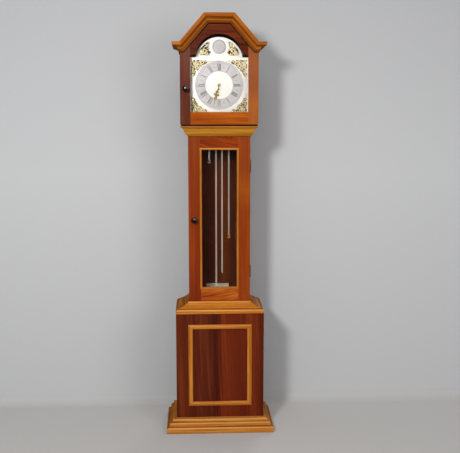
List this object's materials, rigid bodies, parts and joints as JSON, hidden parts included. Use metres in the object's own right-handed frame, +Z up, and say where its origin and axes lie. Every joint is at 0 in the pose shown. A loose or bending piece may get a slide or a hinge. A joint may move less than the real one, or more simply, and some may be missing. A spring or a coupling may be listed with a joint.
{
  "type": "longcase clock",
  "caption": "Tall wooden longcase clock with a gabled hood, a break-arch brass dial, a glazed trunk door and a chain-driven movement with its wheel train.",
  "frame": {"origin": "middle of the base's footprint, on the floor", "axes": "+X to the right seen from the front, +Y to the back, +Z up"},
  "size_m": [0.51, 0.28, 1.95],
  "materials": {
    "moulding_wood": "light golden brown hardwood, satin lacquer",
    "plinth_mahogany": "dark figured mahogany veneer, vertical grain, satin lacquer",
    "case_mahogany": "red brown mahogany, satin lacquer",
    "inner_board": "plain brown board, unpolished",
    "dark_knob": "turned and dark stained, polished",
    "glass": "clear flat glass",
    "hinge_brass": "plain brass",
    "dial_brass": "polished dial brass and castings",
    "silvered": "silvered brass, fine brushed",
    "gilt_hands": "gilt sheet",
    "movement_brass": "machined brass",
    "steel": "bright steel"
  },
  "bodies": {
    "case": {"base_moulding_front": "moulding_wood", "base_moulding_left": "moulding_wood", "base_moulding_right": "moulding_wood", "plinth_panel_moulding": "moulding_wood", "waist_moulding_front": "moulding_wood", "waist_moulding_sides": "moulding_wood", "throat_moulding_front": "moulding_wood", "throat_moulding_left": "moulding_wood", "throat_moulding_right": "moulding_wood", "crown_moulding_front": "moulding_wood", "crown_moulding_sides": "moulding_wood", "plinth_front": "plinth_mahogany", "plinth_side_left": "plinth_mahogany", "plinth_side_right": "plinth_mahogany", "trunk_side_left": "case_mahogany", "trunk_side_right": "case_mahogany", "hood_side_left": "case_mahogany", "hood_side_right": "case_mahogany", "hood_base": "case_mahogany", "back_board": "inner_board", "back_batten": "inner_board", "plinth_floor": "inner_board", "hood_sill": "inner_board", "hood_roof": "inner_board", "seat_board": "inner_board", "trunk_hinges": "hinge_brass", "dial_plate": "dial_brass", "spandrels": "dial_brass", "chapter_ring": "silvered", "arch_boss": "silvered", "movement_front_plate": "movement_brass", "movement_back_plate": "movement_brass", "going_chain": "steel", "strike_chain": "steel", "weight_hooks": "steel"},
    "trunk_door": {"trunk_door_stile_left": "case_mahogany", "trunk_door_stile_right": "case_mahogany", "trunk_door_rail_top": "case_mahogany", "trunk_door_rail_bottom": "case_mahogany", "trunk_door_bead": "moulding_wood", "trunk_door_glass": "glass", "trunk_door_knob": "dark_knob", "trunk_door_hinge_leaves": "hinge_brass"},
    "hood_door": {"hood_door_stile_left": "case_mahogany", "hood_door_stile_right": "case_mahogany", "hood_door_rail_bottom": "case_mahogany", "hood_door_rail_arch": "case_mahogany", "hood_door_glass": "glass", "hood_door_knob": "dark_knob", "hood_door_pivots": "hinge_brass"},
    "centre": {"centre_wheel": "movement_brass", "minute_hand": "gilt_hands"},
    "hour": {"hour_wheel": "movement_brass", "hour_hand": "gilt_hands"},
    "minute_work": {"minute_wheel": "movement_brass"},
    "going_great": {"going_great_wheel": "movement_brass"},
    "strike_great": {"strike_great_wheel": "movement_brass"},
    "third": {"third_wheel": "movement_brass"},
    "escape": {"escape_wheel": "movement_brass"},
    "anchor": {"anchor": "steel"}
  },
  "joints": [
    {"name": "trunk_door_hinge", "type": "hinge", "parent": "case", "child": "trunk_door", "pos_m": [0.1472, -0.0098, 1.01], "axis": [0, 0, 1], "range_deg": [0, 110]},
    {"name": "hood_door_pivot", "type": "hinge", "parent": "case", "child": "hood_door", "pos_m": [0.173, -0.058, 1.62], "axis": [0, 0, 1], "range_deg": [0, 100]},
    {"name": "centre_turn", "type": "hinge", "parent": "case", "child": "centre", "pos_m": [0, 0, 1.634], "axis": [0, 1, 0], "continuous": true},
    {"name": "hour_turn", "type": "hinge", "parent": "case", "child": "hour", "pos_m": [0, 0, 1.634], "axis": [0, 1, 0], "continuous": true},
    {"name": "minute_wheel_turn", "type": "hinge", "parent": "case", "child": "minute_work", "pos_m": [0.024, 0, 1.634], "axis": [0, 1, 0], "continuous": true},
    {"name": "going_great_turn", "type": "hinge", "parent": "case", "child": "going_great", "pos_m": [-0.03, 0, 1.60679], "axis": [0, 1, 0], "continuous": true},
    {"name": "strike_great_turn", "type": "hinge", "parent": "case", "child": "strike_great", "pos_m": [0.03, 0, 1.60679], "axis": [0, 1, 0], "continuous": true},
    {"name": "third_turn", "type": "hinge", "parent": "case", "child": "third", "pos_m": [-0.0103, 0, 1.65749], "axis": [0, 1, 0], "continuous": true},
    {"name": "escape_turn", "type": "hinge", "parent": "case", "child": "escape", "pos_m": [0, 0, 1.678], "axis": [0, 1, 0], "continuous": true},
    {"name": "anchor_rock", "type": "hinge", "parent": "case", "child": "anchor", "pos_m": [0, 0, 1.708], "axis": [0, 1, 0], "range_deg": [-3, 3]}
  ],
  "couplings": [
    {"joint": "hour_turn", "follows": "centre_turn", "ratio": 0.083333},
    {"joint": "minute_wheel_turn", "follows": "centre_turn", "ratio": -0.33333},
    {"joint": "going_great_turn", "follows": "centre_turn", "ratio": -0.125},
    {"joint": "third_turn", "follows": "centre_turn", "ratio": -8},
    {"joint": "escape_turn", "follows": "centre_turn", "ratio": 60}
  ]
}
